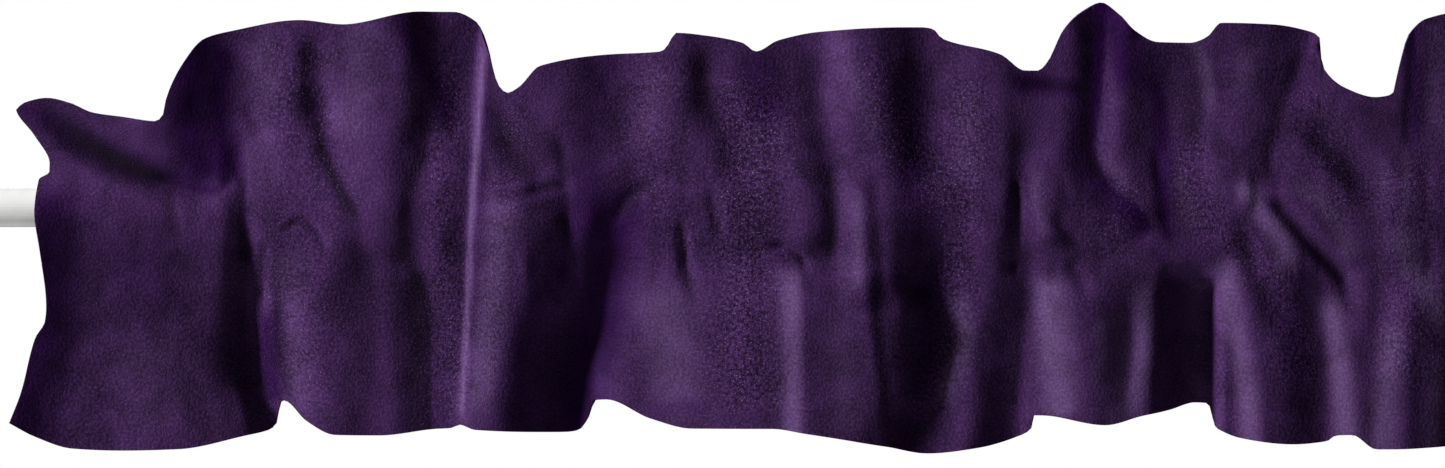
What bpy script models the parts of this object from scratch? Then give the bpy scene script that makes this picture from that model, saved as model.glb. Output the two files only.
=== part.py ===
"""Gathered window valance on a round rod.

One length of cloth, turned over at the top and sewn across twice. The two seams
make a pocket for the rod, with a standing heading above it and a skirt below.
X runs along the rod from its left end, -Y faces the room and +Z is up.
The tables are in millimetres, and build() turns them into metres.
"""

import math
from collections import namedtuple

import bmesh
import bpy
import numpy as np

MM = 0.001

# Rod
ROD_LENGTH = 1220.0
ROD_RADIUS = 14.0
ROD_SIDES = 40
ROD_EDGE = 1.2

# Cloth
CLOTH_THICKNESS = 1.8
CLOTH_LEFT = 62.0
CLOTH_RIGHT = 1158.0
END_REACH = 70.0
TOP_SEAM_Z = 18.5
LOW_SEAM_Z = -40.0
ROD_CLEARANCE = 0.5
CLEAR_RADIUS = ROD_RADIUS + ROD_CLEARANCE + CLOTH_THICKNESS / 2
FRONT_SLACK = 1.0
BACK_SLACK = 0.5
BACK_GATHER = 3.0
BACK_GATHER_PITCH = 41.0
SOFTEN = 1.5

# Mesh
COLUMNS = 86
COLUMN_TRIALS = 900
SKIRT_ROWS = 9
POCKET_HEIGHTS = (LOW_SEAM_Z, -31.0, -22.0, -14.0, -6.5, 0.5, 7.0, 12.8)
HEADING_ROWS = 8
BACK_ROWS = 8

# Upper edge of the heading, from left to right
Edge = namedtuple("Edge", "x z")
HEADING_EDGE = [
    Edge(46, 68), Edge(52, 73), Edge(68, 76.5), Edge(84, 73), Edge(100, 66), Edge(122, 63),
    Edge(144, 60), Edge(149, 64), Edge(152, 77), Edge(163, 100), Edge(178, 118),
    Edge(194, 123), Edge(245, 131), Edge(275, 128), Edge(330, 137), Edge(352, 137),
    Edge(368, 130), Edge(376, 112), Edge(384, 85), Edge(390, 80), Edge(398, 84),
    Edge(413, 99), Edge(460, 107), Edge(498, 109), Edge(503, 114), Edge(508, 122),
    Edge(530, 120), Edge(555, 115), Edge(564, 109), Edge(580, 117), Edge(610, 123),
    Edge(680, 126), Edge(688, 125), Edge(695, 118), Edge(735, 107), Edge(753, 95.5),
    Edge(762, 95.5), Edge(768, 101), Edge(780, 125), Edge(793, 137), Edge(806, 143),
    Edge(818, 135), Edge(829, 124), Edge(846, 115.5), Edge(868, 115), Edge(880, 119),
    Edge(890, 129), Edge(925, 128), Edge(953, 123), Edge(959, 119), Edge(961, 99),
    Edge(978, 83), Edge(998, 77), Edge(1010, 79), Edge(1014, 95), Edge(1022, 121),
    Edge(1034, 132), Edge(1060, 137), Edge(1090, 130), Edge(1125, 124), Edge(1150, 122),
    Edge(1162, 116),
]

# Hem, from left to right
HEM_EDGE = [
    Edge(43, -151), Edge(60, -160.5), Edge(86, -169), Edge(120, -170.5), Edge(160, -169.5),
    Edge(205, -160.5), Edge(221, -156.5), Edge(226, -152), Edge(229, -138), Edge(233, -135.5),
    Edge(250, -150), Edge(270, -159.5), Edge(300, -160), Edge(340, -155.5), Edge(350, -155),
    Edge(357, -152.5), Edge(368, -156), Edge(430, -158), Edge(439, -157), Edge(446, -148),
    Edge(451, -135.5), Edge(460, -135), Edge(490, -148), Edge(520, -155), Edge(575, -155),
    Edge(600, -158.5), Edge(655, -167.5), Edge(684, -172.5), Edge(720, -168.5),
    Edge(750, -160), Edge(757, -155), Edge(759, -146), Edge(765, -146), Edge(808, -152.5),
    Edge(835, -146), Edge(855, -142), Edge(873, -137.5), Edge(883, -138), Edge(888, -155),
    Edge(905, -162), Edge(940, -166), Edge(964, -164), Edge(970, -160), Edge(981, -159.5),
    Edge(998, -169.5), Edge(1045, -167.5), Edge(1080, -158), Edge(1120, -163),
    Edge(1160, -156),
]

# Side edges, from the top down: how far each stands out from the pocket's end
Side = namedtuple("Side", "z out")
LEFT_SIDE = [
    Side(76, 17), Side(68, 16), Side(50, 3), Side(30, -8), Side(24, -8), Side(19, -1),
    Side(0, 0.5), Side(-30, -3), Side(-70, -7), Side(-80, -6), Side(-92, 1),
    Side(-130, 11), Side(-151, 19),
]
RIGHT_SIDE = [
    Side(122, 3), Side(60, -2), Side(24, -6), Side(18, 0), Side(-30, -2), Side(-80, -4),
    Side(-158, 2),
]

# How far the cloth stands out in front of the rod's axis, where it has no fold
Stand = namedtuple("Stand", "z out")
FRONT_STAND = [
    Stand(145, 11), Stand(80, 11), Stand(40, 14), Stand(18.5, 18.5), Stand(6, 22), Stand(-6, 23),
    Stand(-20, 21.5), Stand(-40, 16.5), Stand(-65, 13.5), Stand(-110, 11.5), Stand(-175, 11.5),
]

# How far behind the rod's front face the cloth can fall back, above and below it
REAR_LIMIT = [
    Stand(75, -60), Stand(45, -24), Stand(26, -10), Stand(18.5, -4), Stand(15, 0),
    Stand(-15, 0), Stand(-22, -8), Stand(-31, -20), Stand(-45, -60),
]

# Folds. A path runs downwards, or from left to right. push is the height of the
# crest towards the room, and a trough is below zero. before and after are the
# widths to the left and to the right of the path, or below and above it. keen is
# 0 for a round crest and 1 for a crease, and lean carries the crest to the right.
# enter and leave are the lengths over which the fold grows and dies away.
Fold = namedtuple("Fold", "path push before after keen lean enter leave")
FOLDS = [
    # Left panel, with its flared side and the drooping end of the heading
    Fold([(40, 30), (42, -10), (48, -66), (42, -92), (32, -128), (24, -158), (18, -190)],
         9, 26, 52, 0, 0, 40, 0),
    Fold([(60, 30), (62, -10), (64, -66), (46, -128), (26, -190)], 8, 30, 130, 0, 0, 50, 0),
    Fold([(140, -20), (146, -80), (150, -190)], 3, 46, 40, 0, 0, 50, 0),
    Fold([(52, 76), (70, 63), (88, 48), (106, 36), (130, 25), (160, 19), (200, 9)],
         -5, 16, 18, 0, 0, 60, 44),
    # First standing fold of the heading, and the valley beside it
    Fold([(140, 130), (140, 84), (142, 40)], 8, 26, 66, 0, 0, 0, 44),
    Fold([(208, 136), (206, 80), (202, 34), (206, 2)], -6, 56, 36, 0, 0, 0, 20),
    Fold([(203, 60), (202, 30), (206, 0), (207, -40)], -3, 15, 12, 0.2, 0, 30, 14),
    Fold([(205, 4), (210, -60), (214, -110), (225, -150), (230, -190)], -9, 20, 16, 0, 1, 60, 0),
    Fold([(206, -26), (212, -70), (218, -110), (228, -150), (232, -190)], -8, 42, 44, 0, 0, 80, 0),
    # Second panel
    Fold([(262, -10), (264, -60), (262, -120), (266, -190)], 5, 34, 44, 0, 0, 34, 0),
    Fold([(257, 128), (257, 96), (260, 66), (262, 44)], -2.8, 18, 15, 0, 0, 18, 18),
    Fold([(264, 88), (264, 68), (262, 48)], -2.5, 28, 15, 0, 0, 22, 18),
    Fold([(257, 60), (267, 34), (281, 6), (290, -22), (294, -70)], -2, 16, 28, 0.1, 0, 22, 54),
    Fold([(314, 145), (312, 60), (304, 10), (298, -44)], 4.8, 50, 30, 0, 0, 0, 44),
    Fold([(338, 145), (343, 100), (340, 60), (327, 30), (320, 0)], -2.8, 27, 30, 0, 0, 0, 30),
    Fold([(326, 30), (322, 0), (326, -34), (334, -64), (335, -120), (337, -190)],
         -4, 30, 24, 0, 0, 76, 0),
    Fold([(371, 136), (366, 90), (365, 20)], -6, 60, 10, 0.1, 0, 0, 76),
    Fold([(373, 136), (366, 70), (364, 20), (361, -40), (359, -90), (355, -190)],
         -4, 26, 8, 0.3, 0, 0, 0),
    # Third panel and the deep valley right of it
    Fold([(396, 40), (394, -20), (391, -60), (384, -120), (378, -190)], 7, 34, 42, 0, 0, 50, 0),
    Fold([(374, 84), (388, 52), (402, 30), (430, 17)], -3.5, 19, 19, 0, 0, 30, 18),
    Fold([(426, 62), (429, 24), (431, -14), (429, -64)], -1.6, 28, 20, 0, 0, 30, 30),
    Fold([(500, 20), (484, 12), (472, 1), (464, -14), (459, -60), (451, -92), (443, -122), (437, -190)],
         -6, 21, 32, 0, 0, 70, 0),
    Fold([(464, -10), (461, -36), (457, -60), (448, -92), (440, -122), (434, -190)],
         -13, 58, 44, 0, 0, 90, 0),
    Fold([(474, 120), (470, 70), (466, 26)], -5.5, 48, 46, 0, 0, 0, 34),
    Fold([(472, -30), (462, -90), (452, -130), (446, -190)], 3, 10, 30, 0, 0, 40, 0),
    # Fourth panel
    Fold([(562, -24), (568, -100), (572, -190)], 14, 98, 200, 0, 0, 60, 0),
    Fold([(508, 132), (510, 90), (512, 50)], 2.5, 36, 24, 0, 0, 0, 34),
    Fold([(530, 122), (530, 84), (537, 60), (550, 40), (562, 8)], -2.9, 20, 26, 0, 0, 30, 22),
    Fold([(606, 134), (608, 92), (604, 44)], -6, 62, 30, 0, 0, 0, 36),
    Fold([(586, 80), (596, 36), (601, 0), (602, -38)], 3.5, 22, 26, 0, 0, 26, 20),
    Fold([(604, 70), (618, 30), (623, 0), (620, -26), (610, -56)], -2, 20, 22, 0, 0, 36, 36),
    Fold([(597, -36), (600, -90), (601, -190)], 6.5, 20, 90, 0, 0, 24, 0),
    Fold([(634, 34), (637, -30), (640, -76)], 4, 20, 15, 0, 0, 26, 20),
    # Wide main valley
    Fold([(632, 135), (640, 100), (650, 60), (653, 10), (650, -40), (652, -100), (656, -190)],
         6.5, 38, 46, 0, 0, 0, 0),
    Fold([(690, 134), (684, 80), (688, 40), (694, 0)], -4.2, 38, 36, 0, 0, 0, 40),
    Fold([(696, 20), (695, -60), (688, -106), (676, -146), (664, -190)], -9, 38, 54, 0, 0, 96, 0),
    # Fifth panel and its valley
    Fold([(738, 106), (733, 60), (734, 20), (730, -20), (720, -56), (711, -100), (698, -190)],
         3.6, 42, 34, 0, 0, 0, 0),
    Fold([(754, 70), (751, 30), (748, -4), (744, -54)], -2.6, 17, 24, 0.1, 0, 44, 18),
    Fold([(756, -10), (756, -60), (750, -100), (744, -190)], -6.5, 36, 22, 0, 0, 70, 0),
    Fold([(720, 104), (754, 88), (800, 82)], -3, 18, 22, 0, 0, 40, 30),
    Fold([(764, 140), (800, 156), (842, 136)], 7, 40, 12, 0, 0, 12, 12),
    Fold([(812, 150), (808, 100), (804, 60), (802, 36), (811, 14), (828, -6)], -4, 28, 18, 0, 0, 10, 26),
    # Sixth panel
    Fold([(766, 44), (764, 0), (768, -30)], 2, 14, 30, 0, 0, 16, 10),
    Fold([(861, 120), (857, 60), (856, 30), (856, 0), (859, -34)], -5.4, 42, 64, 0, 0, 28, 30),
    Fold([(792, -34), (794, -90), (796, -190)], 11, 38, 60, 0, 0, 36, 0),
    Fold([(822, -58), (825, -98), (818, -144)], -2, 24, 16, 0, 0, 30, 26),
    Fold([(838, -50), (841, -90), (837, -190)], 3, 18, 12, 0, 0, 20, 0),
    # Recess under the pocket, and the flap that hangs in front of it
    Fold([(836, -15), (850, -28), (866, -38), (896, -49)], 3, 12, 30, 0.1, 0, 16, 20),
    Fold([(868, -36), (866, -190)], -17, 24, 22, 0, 0, 16, 0),
    Fold([(884, -46), (883, -190)], -16, 22, 9, 0.1, 0, 12, 0),
    Fold([(890, 140), (887, 90), (888, 30), (889, -10)], 1.6, 14, 52, 0, 0, 0, 34),
    Fold([(905, -22), (908, -50), (914, -80), (919, -110), (922, -190)], 9, 24, 66, 0, 0, 34, 0),
    Fold([(905, 6), (909, -24), (922, -58), (940, -100)], -2.5, 16, 16, 0, 0, 20, 40),
    Fold([(948, -44), (956, -80), (959, -110), (960, -190)], -2.4, 30, 16, 0, 0, 34, 0),
    Fold([(958, 132), (946, 95), (935, 76), (929, 50), (927, 28), (934, 4)], -3, 34, 26, 0, 0, 10, 26),
    Fold([(940, 70), (966, 46), (984, 26), (1006, -8)], -4.5, 20, 22, 0, 0, 34, 30),
    Fold([(918, 14), (935, -5), (950, -22), (964, -36), (977, -52), (984, -90)],
         -3.4, 11, 13, 0.1, 0, 22, 30),
    Fold([(984, -40), (985, -90), (986, -130), (986, -190)], 7.5, 23, 60, 0, 0, 40, 0),
    # Last panel in view, and the plain right-hand end
    Fold([(1012, 50), (1010, 0), (1008, -60)], 3, 18, 30, 0, 0, 26, 26),
    Fold([(1046, 140), (1044, 90), (1040, 30)], -4, 36, 28, 0, 0, 0, 30),
    Fold([(1024, -40), (1023, -120), (1020, -190)], 10, 28, 66, 0, 0, 40, 0),
    Fold([(1080, 150), (1080, 0), (1072, -190)], -9, 36, 34, 0, 0, 0, 0),
    Fold([(1116, 150), (1112, 0), (1122, -190)], 7, 30, 34, 0, 0, 0, 0),
]


def through(knots, at):
    """A smooth line through the knots' two columns that never passes a knot's value."""
    x = np.array([k[0] for k in knots], float)
    y = np.array([k[1] for k in knots], float)
    if x[0] > x[-1]:
        x, y = x[::-1], y[::-1]
    run, rise = np.diff(x), np.diff(y)
    chord = rise / run
    slope = np.zeros(len(x))
    same_way = chord[:-1] * chord[1:] > 0
    before, after = chord[:-1][same_way], chord[1:][same_way]
    slope[1:-1][same_way] = 2 * before * after / (before + after)
    slope[0], slope[-1] = chord[0], chord[-1]
    at = np.clip(at, x[0], x[-1])
    i = np.clip(np.searchsorted(x, at) - 1, 0, len(run) - 1)
    t = (at - x[i]) / run[i]
    return (
        y[i] * (1 + 2 * t) * (1 - t) ** 2
        + slope[i] * run[i] * t * (1 - t) ** 2
        + y[i + 1] * t**2 * (3 - 2 * t)
        + slope[i + 1] * run[i] * t**2 * (t - 1)
    )


def ease(t):
    """0 below 0, 1 above 1, and smooth between."""
    t = np.clip(t, 0, 1)
    return t * t * (3 - 2 * t)


def rounded(path, steps=6):
    """The path's corners turned into a smooth line."""
    p = np.array(path, float)
    ends = np.vstack([2 * p[0] - p[1], p, 2 * p[-1] - p[-2]])
    t = np.linspace(0, 1, steps, endpoint=False)[:, None]
    runs = [
        0.5
        * (
            2 * b
            + (c - a) * t
            + (2 * a - 5 * b + 4 * c - d) * t**2
            + (3 * b - a - 3 * c + d) * t**3
        )
        for a, b, c, d in zip(ends, ends[1:], ends[2:], ends[3:])
    ]
    return np.vstack([*runs, p[-1:]])


def strength(fold, x, z):
    """The fold's share of its push at each point: 1 on its crest, 0 outside it."""
    line = rounded(fold.path)
    step = np.diff(line, axis=0)
    length = np.linalg.norm(step, axis=1)
    along = np.concatenate([[0], np.cumsum(length)])
    best = np.full(x.shape, np.inf)
    side = np.zeros(x.shape)
    place = np.zeros(x.shape)
    for (px, pz), (dx, dz), size, start in zip(line, step, length, along):
        t = np.clip(((x - px) * dx + (z - pz) * dz) / size**2, 0, 1)
        away_x, away_z = x - px - t * dx, z - pz - t * dz
        distance = np.hypot(away_x, away_z)
        nearer = distance < best
        best = np.where(nearer, distance, best)
        side = np.where(nearer, dx * away_z - dz * away_x, side)
        place = np.where(nearer, start + t * size, place)
    t = np.clip(best / np.where(side < 0, fold.before, fold.after), 0, 1)
    share = (1 - fold.keen) * (1 + np.cos(math.pi * t)) / 2 + fold.keen * (1 - t) ** 2
    if fold.enter:
        share = share * ease(place / fold.enter)
    if fold.leave:
        share = share * ease((along[-1] - place) / fold.leave)
    return share


def folded(x, z):
    """How far the cloth stands out at each point, and how far its folds carry it sideways."""
    out = through(FRONT_STAND, z)
    sideways = np.zeros(x.shape)
    for fold in FOLDS:
        share = strength(fold, x, z)
        out = out + fold.push * share
        sideways = sideways + fold.lean * share
    rod_front = np.sqrt(np.clip((CLEAR_RADIUS + FRONT_SLACK) ** 2 - z**2, 0, None))
    limit = rod_front + through(REAR_LIMIT, z)
    return SOFTEN * np.logaddexp(out / SOFTEN, limit / SOFTEN), sideways


def placed(u, z):
    """The cloth's x where a column that starts at u on the pocket passes height z."""
    left = through(LEFT_SIDE, z) * (1 - ease((u - CLOTH_LEFT) / END_REACH))
    right = through(RIGHT_SIDE, z) * (1 - ease((CLOTH_RIGHT - u) / END_REACH))
    return u - left + right


def front_heights(u):
    """Heights of the front's rows in every column, from the hem to the heading's edge."""
    hem = through(HEM_EDGE, placed(u, np.full(u.shape, HEM_EDGE[0].z)))
    edge = through(HEADING_EDGE, placed(u, np.full(u.shape, HEADING_EDGE[0].z)))
    skirt = np.linspace(0, 1, SKIRT_ROWS, endpoint=False)[:, None]
    pocket = np.array(POCKET_HEIGHTS)[:, None]
    heading = np.linspace(0, 1, HEADING_ROWS)[:, None]
    return np.vstack([
        hem + (LOW_SEAM_Z - hem) * skirt,
        pocket + 0 * hem,
        TOP_SEAM_Z + (edge - TOP_SEAM_Z) * heading,
    ])


def front_rows(u):
    """The front layer's points, as x, distance in front of the rod's axis, and z."""
    z = front_heights(u)
    x = placed(u, z)
    out, sideways = folded(x, z)
    return x + sideways, out, z


def columns(count):
    """Where the columns start on the pocket, evenly spaced along the gathered cloth."""
    u = np.linspace(CLOTH_LEFT, CLOTH_RIGHT, COLUMN_TRIALS)
    steps = np.linalg.norm(np.diff(np.stack(front_rows(u)), axis=2), axis=0)
    walked = np.concatenate([[0], np.cumsum(steps.mean(axis=0))])
    return np.interp(np.linspace(0, walked[-1], count), walked, u)


def back_rows(u, low, top):
    """The pocket's back layer: from the lower seam, round behind the rod, to the upper one."""
    radius = CLEAR_RADIUS + BACK_SLACK
    low_turn = math.pi + np.arctan2(low, -LOW_SEAM_Z)
    top_turn = -np.arctan2(top, TOP_SEAM_Z)
    low_touch = low_turn - np.arccos(radius / np.hypot(low, LOW_SEAM_Z))
    top_touch = top_turn + np.arccos(radius / np.maximum(np.hypot(top, TOP_SEAM_Z), radius))
    share = np.linspace(0, 1, BACK_ROWS + 1)[1:-1, None]
    turn = low_turn + (top_turn - low_turn) * share
    reach = radius / np.cos(np.maximum(turn - low_touch, 0) + np.maximum(top_touch - turn, 0))
    gather = (1 + np.sin(2 * math.pi * u / BACK_GATHER_PITCH)) / 2
    reach = reach + BACK_GATHER * gather * np.sin(math.pi * share) ** 2
    return reach * np.sin(turn), reach * np.cos(turn)


def add_grid(bm, rows):
    """Quads between rows of vertices that are already in the mesh."""
    for lower, upper in zip(rows, rows[1:]):
        for a, b, c, d in zip(lower, lower[1:], upper[1:], upper):
            bm.faces.new((a, b, c, d))


def valance_cloth(collection, material):
    """The whole cloth: skirt, front of the pocket, heading, and the pocket's back layer."""
    u = columns(COLUMNS)
    x, out, z = front_rows(u)
    low, top = SKIRT_ROWS, SKIRT_ROWS + len(POCKET_HEIGHTS)
    back_y, back_z = back_rows(u, out[low], out[top])
    share = np.linspace(0, 1, BACK_ROWS + 1)[1:-1, None]
    back_x = x[low] + (x[top] - x[low]) * share

    mesh = bpy.data.meshes.new("valance_cloth")
    bm = bmesh.new()
    front = [
        [bm.verts.new((a * MM, -b * MM, c * MM)) for a, b, c in zip(*row)]
        for row in zip(x, out, z)
    ]
    back = [
        [bm.verts.new((a * MM, b * MM, c * MM)) for a, b, c in zip(*row)]
        for row in zip(back_x, back_y, back_z)
    ]
    add_grid(bm, front)
    add_grid(bm, [front[top], *back[::-1], front[low]])
    bm.to_mesh(mesh)
    bm.free()
    cloth = bpy.data.objects.new("valance_cloth", mesh)
    collection.objects.link(cloth)
    mesh.materials.append(material)
    halves = cloth.modifiers.new("Same triangles on both faces", "TRIANGULATE")
    halves.quad_method = "SHORTEST_DIAGONAL"
    wall = cloth.modifiers.new("Cloth thickness", "SOLIDIFY")
    wall.solidify_mode = "NON_MANIFOLD"
    wall.nonmanifold_thickness_mode = "FIXED"
    wall.nonmanifold_boundary_mode = "NONE"
    wall.nonmanifold_merge_threshold = 0.00001
    wall.thickness = CLOTH_THICKNESS * MM
    wall.offset = 0
    mesh.shade_smooth()
    return cloth


def curtain_rod(collection, material):
    """The plain round rod, its end edges eased."""
    bpy.ops.mesh.primitive_cylinder_add(
        vertices=ROD_SIDES,
        radius=ROD_RADIUS * MM,
        depth=ROD_LENGTH * MM,
        location=(ROD_LENGTH * MM / 2, 0, 0),
        rotation=(0, math.pi / 2, 0),
    )
    rod = bpy.context.object
    rod.name = "curtain_rod"
    rod.data.materials.append(material)
    edge = rod.modifiers.new("Eased end edges", "BEVEL")
    edge.width = ROD_EDGE * MM
    edge.segments = 2
    edge.angle_limit = math.radians(60)
    rod.data.shade_smooth()
    rod.data.set_sharp_from_angle(angle=math.radians(40))
    for other in list(rod.users_collection):
        other.objects.unlink(rod)
    collection.objects.link(rod)
    return rod


def finish(name, color, roughness, metallic=0.0):
    """A plain surface finish."""
    material = bpy.data.materials.new(name)
    material.use_nodes = True
    shader = material.node_tree.nodes["Principled BSDF"]
    shader.inputs["Base Color"].default_value = (*color, 1)
    shader.inputs["Roughness"].default_value = roughness
    shader.inputs["Metallic"].default_value = metallic
    return material


def build():
    for obj in list(bpy.data.objects):
        bpy.data.objects.remove(obj)
    collection = bpy.data.collections.new("window_valance")
    bpy.context.scene.collection.children.link(collection)
    valance_cloth(collection, finish("purple_velvet", (0.060, 0.022, 0.095), 0.85))
    curtain_rod(collection, finish("white_enamel", (0.72, 0.72, 0.71), 0.35))


build()
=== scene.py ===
"""Window valance: deep purple velvet gathered on a white round rod.

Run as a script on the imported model. X runs along the rod from its left end, -Y faces
the room and +Z is up. The tables are in millimetres, and the meshes in metres.
"""

import math
from collections import namedtuple

import bmesh
import bpy
import numpy as np
from bpy.props import FloatProperty, FloatVectorProperty, IntProperty, PointerProperty
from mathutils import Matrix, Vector


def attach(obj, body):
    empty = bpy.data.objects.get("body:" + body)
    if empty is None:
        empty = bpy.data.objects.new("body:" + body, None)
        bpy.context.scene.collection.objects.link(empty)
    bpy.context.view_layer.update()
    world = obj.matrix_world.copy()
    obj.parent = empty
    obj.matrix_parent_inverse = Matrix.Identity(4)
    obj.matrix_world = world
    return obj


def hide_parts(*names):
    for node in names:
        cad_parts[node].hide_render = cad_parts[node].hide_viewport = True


bl_info = {
    "name": "Window Valance",
    "version": (1, 0, 0),
    "blender": (4, 5, 0),
    "location": "View3D > Sidebar > Valance",
    "description": "Dresses a gathered window valance and its rod",
    "category": "Object",
}

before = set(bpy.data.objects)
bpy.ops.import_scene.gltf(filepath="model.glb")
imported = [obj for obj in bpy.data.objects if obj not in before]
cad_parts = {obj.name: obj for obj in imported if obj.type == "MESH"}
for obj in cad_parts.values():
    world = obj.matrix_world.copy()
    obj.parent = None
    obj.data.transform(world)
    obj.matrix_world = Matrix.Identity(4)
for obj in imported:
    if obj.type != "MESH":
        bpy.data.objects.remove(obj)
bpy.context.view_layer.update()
MM = 0.001

# Rod and cloth, as in the solids
ROD_RADIUS = 14.0
CLOTH_THICKNESS = 1.8
CLOTH_LEFT = 62.0
CLOTH_RIGHT = 1158.0
END_REACH = 70.0
TOP_SEAM_Z = 18.5
LOW_SEAM_Z = -40.0
ROD_CLEARANCE = 0.5
CLEAR_RADIUS = ROD_RADIUS + ROD_CLEARANCE + CLOTH_THICKNESS / 2
FRONT_SLACK = 1.0
BACK_SLACK = 0.5
BACK_GATHER = 3.0
BACK_GATHER_PITCH = 41.0
SOFTEN = 1.5

# Small gathers at the seams, and the cloth's slight unevenness
SEAM_GATHERS = 0.75
TOP_GATHERS_REACH = 17.0
LOW_GATHERS_REACH = 15.0
BROAD_WAVES = 0.7
SMALL_WAVES = 0.25
UNEVEN_BACK_GATHERS = 0.35

# Mesh of the velvet, with the length in metres of the pocket's back on the flat map
COLUMN_TRIALS = 1400
TRIAL_ROWS = (4, 4, 4)
BACK_ON_MAP = 0.08
SHARP_ANGLE = math.radians(55)

# Upper edge of the heading, from left to right
Edge = namedtuple("Edge", "x z")
HEADING_EDGE = [
    Edge(46, 68), Edge(52, 73), Edge(68, 76.5), Edge(84, 73), Edge(100, 66), Edge(122, 63),
    Edge(144, 60), Edge(149, 64), Edge(152, 77), Edge(163, 100), Edge(178, 118),
    Edge(194, 123), Edge(245, 131), Edge(275, 128), Edge(330, 137), Edge(352, 137),
    Edge(368, 130), Edge(376, 112), Edge(384, 85), Edge(390, 80), Edge(398, 84),
    Edge(413, 99), Edge(460, 107), Edge(498, 109), Edge(503, 114), Edge(508, 122),
    Edge(530, 120), Edge(555, 115), Edge(564, 109), Edge(580, 117), Edge(610, 123),
    Edge(680, 126), Edge(688, 125), Edge(695, 118), Edge(735, 107), Edge(753, 95.5),
    Edge(762, 95.5), Edge(768, 101), Edge(780, 125), Edge(793, 137), Edge(806, 143),
    Edge(818, 135), Edge(829, 124), Edge(846, 115.5), Edge(868, 115), Edge(880, 119),
    Edge(890, 129), Edge(925, 128), Edge(953, 123), Edge(959, 119), Edge(961, 99),
    Edge(978, 83), Edge(998, 77), Edge(1010, 79), Edge(1014, 95), Edge(1022, 121),
    Edge(1034, 132), Edge(1060, 137), Edge(1090, 130), Edge(1125, 124), Edge(1150, 122),
    Edge(1162, 116),
]

# Hem, from left to right
HEM_EDGE = [
    Edge(43, -151), Edge(60, -160.5), Edge(86, -169), Edge(120, -170.5), Edge(160, -169.5),
    Edge(205, -160.5), Edge(221, -156.5), Edge(226, -152), Edge(229, -138), Edge(233, -135.5),
    Edge(250, -150), Edge(270, -159.5), Edge(300, -160), Edge(340, -155.5), Edge(350, -155),
    Edge(357, -152.5), Edge(368, -156), Edge(430, -158), Edge(439, -157), Edge(446, -148),
    Edge(451, -135.5), Edge(460, -135), Edge(490, -148), Edge(520, -155), Edge(575, -155),
    Edge(600, -158.5), Edge(655, -167.5), Edge(684, -172.5), Edge(720, -168.5),
    Edge(750, -160), Edge(757, -155), Edge(759, -146), Edge(765, -146), Edge(808, -152.5),
    Edge(835, -146), Edge(855, -142), Edge(873, -137.5), Edge(883, -138), Edge(888, -155),
    Edge(905, -162), Edge(940, -166), Edge(964, -164), Edge(970, -160), Edge(981, -159.5),
    Edge(998, -169.5), Edge(1045, -167.5), Edge(1080, -158), Edge(1120, -163),
    Edge(1160, -156),
]

# Side edges, from the top down: how far each stands out from the pocket's end
Side = namedtuple("Side", "z out")
LEFT_SIDE = [
    Side(76, 17), Side(68, 16), Side(50, 3), Side(30, -8), Side(24, -8), Side(19, -1),
    Side(0, 0.5), Side(-30, -3), Side(-70, -7), Side(-80, -6), Side(-92, 1),
    Side(-130, 11), Side(-151, 19),
]
RIGHT_SIDE = [
    Side(122, 3), Side(60, -2), Side(24, -6), Side(18, 0), Side(-30, -2), Side(-80, -4),
    Side(-158, 2),
]

# How far the cloth stands out in front of the rod's axis, where it has no fold
Stand = namedtuple("Stand", "z out")
FRONT_STAND = [
    Stand(145, 11), Stand(80, 11), Stand(40, 14), Stand(18.5, 18.5), Stand(6, 22), Stand(-6, 23),
    Stand(-20, 21.5), Stand(-40, 16.5), Stand(-65, 13.5), Stand(-110, 11.5), Stand(-175, 11.5),
]

# How far behind the rod's front face the cloth can fall back, above and below it
REAR_LIMIT = [
    Stand(75, -60), Stand(45, -24), Stand(26, -10), Stand(18.5, -4), Stand(15, 0),
    Stand(-15, 0), Stand(-22, -8), Stand(-31, -20), Stand(-45, -60),
]

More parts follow.
